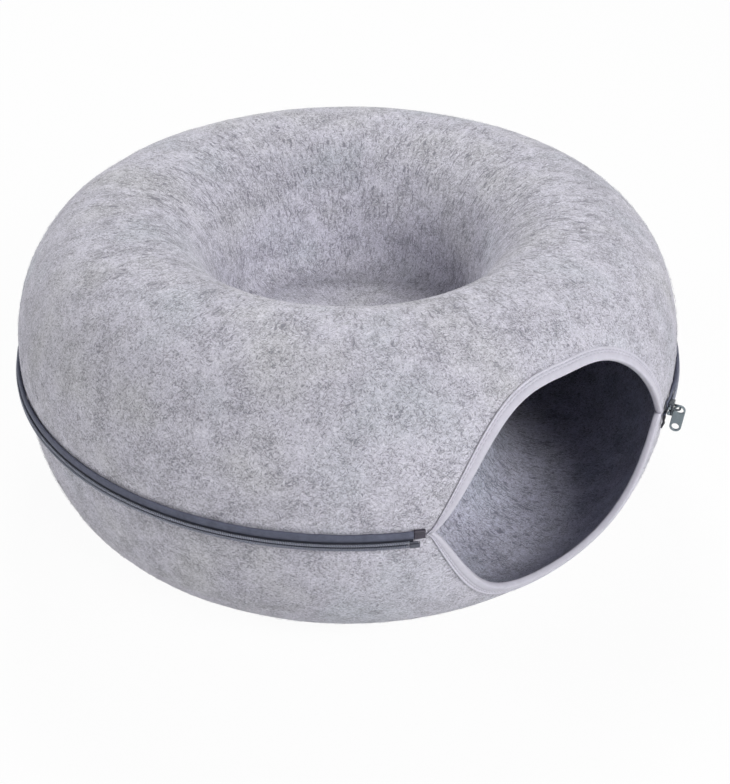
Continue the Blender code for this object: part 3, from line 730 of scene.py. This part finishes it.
fibres = {
    "count": 3600,
    "rimCount": 1300,
    "thickness": 0.00009,
    "step": 0.0013,
    "proud": 0.0001,  # how far it lies off the felt at least, and how much further at most
    "lift": 0.0004,
    "leastClimb": 0.15,
    "heightShares": (0.12, 0.97),  # of the half's height
    "topShare": 0.985,
    "overParting": {1: 0.004, -1: 0.001},  # how far a fibre of each half may reach past the parting
    "clearShare": 1.12,  # none starts nearer the entrance than this share of its half width
    "clearHeight": 0.016,
    "rimStart": {1: 0.0062, -1: 0.0102},  # where the zip's tapes end, off the parting
    "rimBand": 0.0016,
}


def addFibre(curve, half, place, angle, heading, steps):
    # place and heading run over the wall's height and the arc; a fibre lies close to the felt and curls
    points = []
    bend = random.uniform(-0.5, 0.5)
    top = half["face"] + half["side"] * half["height"] * fibres["topShare"]
    foot = half["face"] - half["side"] * fibres["overParting"][half["side"]]
    lowest, highest = min(foot, top), max(foot, top)
    for i in range(steps + 1):
        rise = math.sin(math.pi * min(i / steps * 0.8 + 0.05, 1))
        proud = fibres["proud"] + fibres["lift"] * rise * random.uniform(0.6, 1.2)
        points.append(wallPoint(half, angle, place, proud))
        out, up = wallNormal(half, place)
        place += fibres["step"] * math.sin(heading) * max(out, fibres["leastClimb"])
        place = min(max(place, lowest), highest)
        angle += fibres["step"] * math.cos(heading) / wallRadius(half, place)
        heading += bend + random.uniform(-0.25, 0.25)
    addLine(curve, points)


def makeFibres(name, half, body):
    curve = newWire(name, fibres["thickness"] / 2, 0)
    clear = fibres["clearShare"]
    for i in range(fibres["count"]):
        place = half["face"] + half["side"] * half["height"] * random.uniform(*fibres["heightShares"])
        angle = random.uniform(0, 2 * math.pi)
        turned = abs((angle + math.pi) % (2 * math.pi) - math.pi) / halfAngle
        arch = abs(archHeight(half, min(turned, 1)) - half["face"]) + fibres["clearHeight"]
        if turned < clear and abs(place - half["face"]) < arch:
            continue
        addFibre(curve, half, place, angle, random.uniform(0, 2 * math.pi), random.randint(3, 6))
    # short ones along the zip reach over the edge of its tape
    start = fibres["rimStart"][half["side"]]
    for i in range(fibres["rimCount"]):
        angle = random.uniform(halfAngle * clear, 2 * math.pi - halfAngle * clear)
        place = half["face"] + half["side"] * (start + random.uniform(0, fibres["rimBand"]))
        addFibre(curve, half, place, angle, -half["side"] * random.uniform(0.3, 2.8), random.randint(1, 2))
    piece = curvePiece(name, curve)
    return dressPiece(piece, body, strayWool, (), 80)


makeFibres("upperStrayFibres", upperHalf, "upper_half")
makeFibres("lowerStrayFibres", lowerHalf, "lower_half")
print("stray fibres laid")


def bindingSection(share):
    # the fold's outer skin, from the hem of the outer flap round the felt to the edge of the inner flap,
    # as distances past the cut edge and off the felt
    width = bindingWidth(share)
    deep = -feltForm["pressed"]
    return [
        (-width * 0.99, 0.0003),
        (-width * 1.00, 0.0008),
        (-width * 0.97, 0.0012),
        (-width * 0.89, 0.0013),
        (-width * 0.81, 0.0009),
        (-width * 0.76, 0.0006),  # the seams pull the tape down
        (-width * 0.71, 0.0009),
        (-width * 0.60, 0.0010),
        (-width * 0.55, 0.0007),
        (-width * 0.50, 0.0010),
        (-width * 0.30, 0.0011),
        (-width * 0.08, 0.0012),
        (0.0002, 0.0011),
        (0.0007, 0.0006),
        (0.0009, -0.0004),
        (0.0009, deep + 0.0007),
        (0.0007, deep - 0.0003),
        (0.0002, deep - 0.0009),
        (-width * 0.30, deep - 0.0011),
        (-width * 0.70, deep - 0.0011),
        (-width, deep - 0.0008),
    ]


def makeBinding(name, half, body, replaced):
    def place(along, row):
        share = -1 + 2 * along
        return archPoint(half, share, *bindingSection(share)[row])

    shape = gridSheet(binding["stations"], len(bindingSection(0)) - 1, place, *binding["cloth"])
    # the outer flap faces away from the bed's axis
    flap = archPoint(half, 0, -binding["width"] / 2, binding["thickness"])
    turnByFace(shape, min(shape.faces, key=lambda face: (face.calc_center_median() - flap).length))
    piece = newPiece(name, shape)
    thicken(piece, binding["thickness"])
    return dressPiece(piece, body, bindingTape, replaced, 60)


def makeBindingStitches(name, half, body):
    # one small thread loop after another, on both faces of the binding
    shape = bmesh.new()
    length, halfWidth, halfHeight = binding["stitchSize"]
    steps, end = binding["stitchSteps"], binding["stitchEnd"]
    for row in binding["stitchRows"]:
        for proud in (binding["stitchProud"], -feltForm["pressed"] - binding["stitchDeep"]):
            travelled, last = 0.0, None
            for i in range(steps + 1):
                share = -end + 2 * end * i / steps
                into = -bindingWidth(share) * (1 - row)
                point = archPoint(half, share, into, proud)
                travelled += (point - last).length if last else 0
                last = point
                if travelled < binding["stitchPitch"]:
                    continue
                travelled -= binding["stitchPitch"]
                # points a little further along and further out give the loop its axes
                along = (archPoint(half, share + 0.002, into, proud) - point).normalized()
                normal = (archPoint(half, share, into, proud + 0.001) - point).normalized()
                across = normal.cross(along).normalized()
                size = (along * length / 2, across * halfWidth, normal * halfHeight)
                turn = Matrix(size).transposed().to_4x4()
                turn.translation = point
                bmesh.ops.create_uvsphere(shape, u_segments=6, v_segments=4, radius=1, matrix=turn)
    bmesh.ops.recalc_face_normals(shape, faces=shape.faces[:])
    return dressPiece(newPiece(name, shape), body, sewingThread, (), 80)


makeBinding("upperBindingTape", upperHalf, "upper_half", ["upper_binding"])
makeBinding("lowerBindingTape", lowerHalf, "lower_half", ["lower_binding"])
makeBindingStitches("upperBindingStitches", upperHalf, "upper_half")
makeBindingStitches("lowerBindingStitches", lowerHalf, "lower_half")
print("bindings made")

zipForm = {
    "chainHeight": 0.1108,
    "halfChain": 0.0023,
    "tapeRadius": 0.2476,
    "tapeThickness": 0.0006,
    "coilRadius": 0.2485,
    "chainRadius": 0.2505,
    "gap": 0.0003,
    "bandGap": 0.0005,
    "sliderSideGap": 0.0050,
    "sliderSetback": 0.0070,
    "setback": 0.0104,
    "stations": 300,
    "sheet": 0.0005,  # thickness of the tapes as they show
    "clothWidth": 0.012,
    "lowerTurn": 0.0036,
    "lowerDepth": 0.0058,
    "lowerSlant": 0.0040,  # the lower tape's end is cut at a slant
    "coilPitch": 0.0015,
    "coilWire": 0.00042,
    "coilLow": 0.0005,  # each row lies between these heights off the chain's middle
    "coilHigh": 0.0027,
    "coilStart": 0.0024,
    "turnPoints": 8,
    "spread": 0.0013,  # how far the rows part at the slider, how far that reaches and over what it fades
    "spreadReach": 0.0060,
    "spreadFade": 0.003,
}


def flapReach(half):
    slope = entrance["power"] * (1 - entrance["flareShare"]) * half["rise"] / (entrance["width"] / 2)
    return binding["tipWidth"] / math.sin(math.atan(slope))


cornerReach = max(flapReach(upperHalf), flapReach(lowerHalf))
cornerClear = halfAngle + (cornerReach + zipForm["bandGap"]) / bed["rimRadius"]
bandStart = cornerClear + zipForm["sliderSideGap"] / bed["rimRadius"]
bandEnd = 2 * math.pi - cornerClear
chainEnd = bandEnd - zipForm["setback"] / bed["rimRadius"]
sliderAngle = bandStart + zipForm["sliderSetback"] / bed["rimRadius"]


def makeStrip(name, sectionAt, start, end, stations, thickness, slant=0):
    # a strip of tape round the rim; sectionAt gives the radii and heights of its outer skin
    rows = len(sectionAt(start)) - 1

    def place(along, row):
        # a slant lets the lower rows end earlier
        angle = start + (end - start - slant * row / rows / bed["rimRadius"]) * along
        radius, height = sectionAt(angle)[row]
        return ringPoint(radius, angle, height)

    shape = gridSheet(stations, rows, place, (end - start) * bed["rimRadius"], zipForm["clothWidth"])
    turnOutwards(shape)
    piece = newPiece(name, shape)
    thicken(piece, thickness)
    return piece


fold = {
    "height": 0.0057,
    "depth": 0.0031,
    "flatDepth": 0.0018,  # depth and lower top where it lies flat, near the slider
    "flatDrop": 0.0016,
    "flatTurn": 0.020,  # radians past the slider's middle, and those over which it fills out
    "fullTurn": 0.05,
    "lift": 0.0007,  # the fold curls up off the coil
    "fullness": 0.55,
    "steps": 12,
    "waves": ((0.00025, 9, 0), (0.00012, 40, 5)),  # how deep, how many per radian, and which of the noise
    "ragged": (0.00035, 170, 2),
}


def ringNoise(angle, depth, perRadian, layer):
    return depth * noise.noise(Vector((angle * perRadian, layer, 3)))


def foldSection(angle):
    middle = zipForm["chainHeight"]
    low = middle + zipForm["halfChain"] + zipForm["gap"]
    felt = bed["rimRadius"] + zipForm["gap"]
    tape = zipForm["tapeRadius"] + zipForm["tapeThickness"]
    full = clamp((angle - sliderAngle - fold["flatTurn"]) / fold["fullTurn"])
    full = full * full * (3 - 2 * full)
    wave = sum(ringNoise(angle, *values) for values in fold["waves"])
    deep = fold["depth"] * full + fold["flatDepth"] * (1 - full) + wave * full
    ragged = ringNoise(angle, *fold["ragged"])
    high = low + fold["height"] - (1 - full) * fold["flatDrop"] + wave + ragged * full
    span = high - low
    low += fold["lift"]
    points = [(tape, middle + 0.0010), (tape, low - 0.0002)]
    for step in range(1, fold["steps"]):
        turn = math.pi * step / fold["steps"]
        rise = low + span * (1 - math.cos(turn)) / 2
        radius = felt + deep * math.sin(turn) ** fold["fullness"]
        # the first steps lie on the tape that rises from the coil
        points.append((max(radius, tape) if step < 3 else radius, rise))
    return points + [(felt + 0.0004, high), (felt + 0.0002, high - 0.0012)]


def lowerSection(angle):
    middle = zipForm["chainHeight"]
    turn = middle - zipForm["lowerTurn"]
    bottom = middle - zipForm["lowerDepth"]
    tape = zipForm["tapeRadius"] + zipForm["tapeThickness"]
    felt = bed["rimRadius"] - bed["lowerRimInset"] + zipForm["gap"] + zipForm["tapeThickness"]
    return [
        (tape, middle - 0.0010),
        (tape, turn + 0.0008),
        (tape - 0.0002, turn + 0.0002),
        (felt + 0.0008, turn - 0.0003),
        (felt + 0.0002, turn - 0.0008),
        (felt, bottom + 0.0006),
        (felt - 0.0001, bottom),
    ]


patch = {
    "length": 0.0072,
    "over": 0.0009,  # how far it reaches above the fold
    "proud": 0.0025,
    "stations": 10,
    "thickness": 0.0006,
}


def patchSection(angle):
    low = zipForm["chainHeight"] + zipForm["halfChain"] + zipForm["gap"]
    top = low + fold["height"] + patch["over"]
    felt = bed["rimRadius"] + zipForm["gap"]
    proud = felt + patch["proud"]
    return [
        (felt + 0.0005, low),
        (proud - 0.0005, low + 0.0001),
        (proud - 0.0001, low + 0.0005),
        (proud - 0.0001, low + 0.0010),
        (proud - 0.0004, low + 0.0013),  # pressed hollow between the raised edges
        (proud - 0.0003, top - 0.0013),
        (proud, top - 0.0010),
        (proud - 0.0001, top - 0.0005),
        (proud - 0.0006, top - 0.0001),
        (felt + 0.0005, top),
    ]


def makeTapes():
    patchStart = bandEnd - patch["length"] / bed["rimRadius"]
    foldEnd = patchStart - zipForm["gap"] / bed["rimRadius"]
    stations, sheet = zipForm["stations"], zipForm["sheet"]
    piece = makeStrip("upperTapeFold", foldSection, bandStart, foldEnd, stations, sheet)
    dressPiece(piece, "upper_half", zipTape, ["upper_zip_tape"], 60)
    piece = makeStrip("lowerTape", lowerSection, bandStart, chainEnd, stations, sheet, zipForm["lowerSlant"])
    dressPiece(piece, "lower_half", zipTape, ["lower_zip_tape"], 60)
    piece = makeStrip("fusedEnd", patchSection, patchStart, bandEnd, patch["stations"], patch["thickness"])
    dressPiece(piece, "upper_half", endFilm, ["upper_tape_end"], 60)


tail = {
    "length": 0.0130,
    "width": 0.0042,
    "thickness": 0.0006,
    "columns": 6,
    "rows": 22,
    "pinch": 0.55,  # how much narrower at its waist, where that is and how far it reaches
    "waist": 0.36,
    "waistReach": 0.14,
    "taper": 0.85,  # how much narrower at its end, and where that begins
    "taperStart": 0.62,
    "stand": 0.0012,  # off the felt
    "lean": -0.0006,
    "sway": 0.0005,
    "swayTurn": 9,
    "bow": 0.0010,
    "ripple": 0.0004,
    "rippleTurns": (14, 4),  # along and across
}


def makeTail():
    # the cut end of the lower tape hangs loose below the slider, curled and frayed
    top = zipForm["chainHeight"] - zipForm["lowerTurn"]
    felt = bed["rimRadius"] - bed["lowerRimInset"] + tail["stand"]
    start = bandStart + tail["width"] / 2 / bed["rimRadius"]
    rate, rateAcross = tail["rippleTurns"]

    def place(along, row):
        share = row / tail["rows"]
        wide = 1 - tail["pinch"] * math.exp(-(((share - tail["waist"]) / tail["waistReach"]) ** 2))
        wide -= tail["taper"] * max(share - tail["taperStart"], 0) / (1 - tail["taperStart"])
        across = (along - 0.5) * tail["width"] * wide
        across += tail["lean"] * share + tail["sway"] * math.sin(share * tail["swayTurn"])
        curl = tail["bow"] * math.sin(math.pi * share) * (0.5 + along)
        curl += tail["ripple"] * math.sin(share * rate + along * rateAcross)
        return ringPoint(felt + curl, start + across / bed["rimRadius"], top - tail["length"] * share)

    shape = gridSheet(tail["columns"], tail["rows"], place, tail["width"], tail["length"])
    turnOutwards(shape)
    piece = newPiece("looseTapeTail", shape)
    thicken(piece, tail["thickness"])
    dressPiece(piece, "lower_half", looseTape, (), 60)


def makeCoil(name, side, body, replaced):
    # one continuous nylon spiral; the two rows mesh half a turn apart
    wire = zipForm["coilWire"]
    start = bandStart + zipForm["coilStart"] / zipForm["chainRadius"]
    radius = (zipForm["coilRadius"] + zipForm["chainRadius"]) / 2
    deep = (zipForm["chainRadius"] - zipForm["coilRadius"]) / 2 - wire
    reach = (zipForm["coilHigh"] - zipForm["coilLow"]) / 2 - wire
    rowMiddle = (zipForm["coilLow"] + zipForm["coilHigh"]) / 2
    perTurn = zipForm["turnPoints"]
    total = round((chainEnd - start) * radius / zipForm["coilPitch"]) * perTurn
    points = []
    for i in range(total + 1):
        angle = start + (chainEnd - start) * i / total
        left = zipForm["spreadReach"] + zipForm["spreadFade"] - (angle - bandStart) * zipForm["chainRadius"]
        spread = zipForm["spread"] * clamp(left / zipForm["spreadFade"])
        phase = 2 * math.pi * (i % perTurn) / perTurn + (math.pi if side < 0 else 0)
        height = zipForm["chainHeight"] + side * (spread + rowMiddle) + side * reach * math.cos(phase)
        points.append(ringPoint(radius + deep * math.sin(phase), angle, height))
    curve = newWire(name, wire, 1)
    addLine(curve, points)
    piece = curvePiece(name, curve)
    return dressPiece(piece, body, nylonCoil, replaced, 80)


pull = {
    "width": 0.0084,
    "length": 0.0225,
    "thickness": 0.0016,
    "eye": 0.0029,
    "eyeDrop": 0.0021,
    "hole": 0.0027,
    "hang": 0.0018,
    "bridgeRadius": 0.2562,
    "lean": math.radians(5),  # the bottom rests towards the felt
    "edge": 0.00035,
    "arcSteps": 28,
}


def makePull():
    # flat die-cast tab with an eye on the bridge and a finger hole, its edges rounded; the bevel of the
    # edges grows the outline again
    half, steps, edge = pull["width"] / 2, pull["arcSteps"], pull["edge"]
    head = -pull["hang"]
    foot = head - pull["length"] + pull["width"]

    def arc(centre, radius, first, sweep):
        turns = [first + sweep * i / steps for i in range(steps + 1)]
        return [(radius * math.cos(turn), centre + radius * math.sin(turn)) for turn in turns]

    outline = arc(head, half - edge, 0, math.pi) + arc(foot, half - edge, math.pi, math.pi)
    eye = arc(head, pull["eye"] + edge, 0, 2 * math.pi)[:-1]
    flatter = (pull["eyeDrop"] + edge) / (pull["eye"] + edge)
    eye = [(x, y if y > head else head + (y - head) * flatter) for x, y in eye]
    hole = arc(foot, pull["hole"] + edge, 0, 2 * math.pi)[:-1]
    curve = bpy.data.curves.new("pullTab", "CURVE")
    curve.dimensions = "2D"
    curve.fill_mode = "BOTH"
    curve.extrude = pull["thickness"] / 2 - edge
    curve.bevel_depth = edge
    curve.bevel_resolution = 2
    for line in (outline, eye, hole):
        addLine(curve, [(x, y, 0) for x, y in line]).use_cyclic_u = True
    piece = curvePiece("pullTab", curve)
    turned = sliderAngle + bed["entranceAngle"]
    outward = Vector((math.sin(turned), -math.cos(turned), 0))
    aroundRing = Vector((math.cos(turned), math.sin(turned), 0))
    place = Matrix((outward, Vector((0, 0, 1)), -aroundRing)).transposed().to_4x4()
    place.translation = ringPoint(pull["bridgeRadius"], sliderAngle, zipForm["chainHeight"])
    piece.data.transform(place @ Matrix.Rotation(-pull["lean"], 4, "Z"))
    shape = bmesh.new()
    shape.from_mesh(piece.data)
    bmesh.ops.remove_doubles(shape, verts=shape.verts[:], dist=merging["fine"])
    bmesh.ops.recalc_face_normals(shape, faces=shape.faces[:])
    shape.to_mesh(piece.data)
    shape.free()
    return dressPiece(piece, "pull", lacqueredZinc, ["zip_pull_tab"], 50)


def carryOver(name, nodeName, body, material, bevel, slotName):
    # a merged copy of the solid with its corners eased
    shape = bmesh.new()
    shape.from_mesh(nodes[nodeName].data)
    bmesh.ops.remove_doubles(shape, verts=shape.verts[:], dist=merging["fine"])
    bmesh.ops.dissolve_limit(shape, angle_limit=math.radians(2), verts=shape.verts[:], edges=shape.edges[:])
    piece = newPiece(name, shape)
    soften = piece.modifiers.new("easedCorners", "BEVEL")
    soften.width = bevel
    soften.segments = 2
    soften.limit_method = "ANGLE"
    soften.angle_limit = math.radians(35)
    return dressPiece(piece, body, material, [nodeName], 35)


makeTapes()
makeTail()
makeCoil("upperCoil", 1, "upper_half", ["upper_zip_coil"])
makeCoil("lowerCoil", -1, "lower_half", ["lower_zip_coil"])
makePull()
zinc, nylon = (0.0002, "grey_coated_zinc"), (0.0001, "dark_nylon_coil")  # eased corner and slot
carryOver("sliderBody", "zip_slider_body", "slider", darkZinc, *zinc)
carryOver("upperStop", "upper_top_stop", "upper_half", lacqueredZinc, *zinc)
carryOver("lowerStop", "lower_top_stop", "lower_half", lacqueredZinc, *zinc)
carryOver("insertionPin", "zip_insertion_pin", "upper_half", nylonEnd, *nylon)
carryOver("retainingBox", "zip_retaining_box", "lower_half", nylonEnd, *nylon)
print("zip made")

studio = {
    "floorSize": 30.0,
    "floorGlow": 0.95,
    "floorColour": (0.9, 0.9, 0.9, 1),
    "worldLight": 0.015,
    "worldColour": (0.97, 0.98, 1, 1),
    "white": (1, 1, 1, 1),
    "lampDistance": 2.3,
    "lampSize": 0.7,
    "aim": (0, 0, 0.1),
    # azimuth from the camera's side towards the right, elevation, power in watts
    "lowKey": (30, 25, 10.7),
    "highKey": (30, 40, 14.5),
    "side": (55, 35, 12.6),
    "back": (180, 50, 26.5),
    "left": (-93, 18, 20.0),
}


def seenDirectly(tree):
    # 1 for rays that show the backdrop to the camera, by itself or in metal and glass
    path = addNode(tree, "LightPath").outputs
    greater = {"operation": "MAXIMUM"}
    seen = addNode(tree, "Math", greater, {0: path["Is Camera Ray"], 1: path["Is Glossy Ray"]}).outputs[0]
    return addNode(tree, "Math", greater, {0: seen, 1: path["Is Transmission Ray"]}).outputs[0]


def makeFloor():
    shape = bmesh.new()
    bmesh.ops.create_grid(shape, x_segments=8, y_segments=8, size=studio["floorSize"] / 2)
    floor = newPiece("studioFloor", shape)
    material = bpy.data.materials.new("paleFloor")
    material.use_nodes = True
    tree = material.node_tree
    tree.nodes.clear()
    share = addNode(tree, "Math", {"operation": "MULTIPLY", 1: studio["floorGlow"]}, {0: seenDirectly(tree)})
    paint = addNode(tree, "BsdfDiffuse", {"Color": studio["floorColour"]})
    glow = addNode(tree, "Emission", {"Color": studio["white"], "Strength": 1.0})
    mix = addNode(tree, "MixShader", links={0: share.outputs[0], 1: paint.outputs[0], 2: glow.outputs[0]})
    addNode(tree, "OutputMaterial", links={"Surface": mix.outputs[0]})
    floor.data.materials.append(material)


def makeWorld():
    world = bpy.data.worlds.new("studioWorld")
    bpy.context.scene.world = world
    world.use_nodes = True
    tree = world.node_tree
    tree.nodes.clear()
    soft = addNode(tree, "Background", {"Color": studio["worldColour"], "Strength": studio["worldLight"]})
    white = addNode(tree, "Background", {"Color": studio["white"], "Strength": 1.0})
    mix = addNode(tree, "MixShader", links={0: seenDirectly(tree), 1: soft.outputs[0], 2: white.outputs[0]})
    addNode(tree, "OutputWorld", links={"Surface": mix.outputs[0]})


def addLamp(name):
    azimuth, elevation, power = studio[name]
    data = bpy.data.lights.new(name + "Softbox", "AREA")
    data.shape = "SQUARE"
    data.size = studio["lampSize"]
    data.energy = power
    lamp = addObject(name + "Softbox", data)
    turn, rise = math.radians(azimuth), math.radians(elevation)
    away = Vector((math.cos(rise) * math.sin(turn), -math.cos(rise) * math.cos(turn), math.sin(rise)))
    lamp.location = Vector(studio["aim"]) + away * studio["lampDistance"]
    lamp.rotation_euler = away.to_track_quat("Z", "Y").to_euler()


makeFloor()
makeWorld()
for name in ("lowKey", "highKey", "side", "back", "left"):
    addLamp(name)
bpy.context.scene.view_settings.view_transform = "Standard"
print("studio lit")
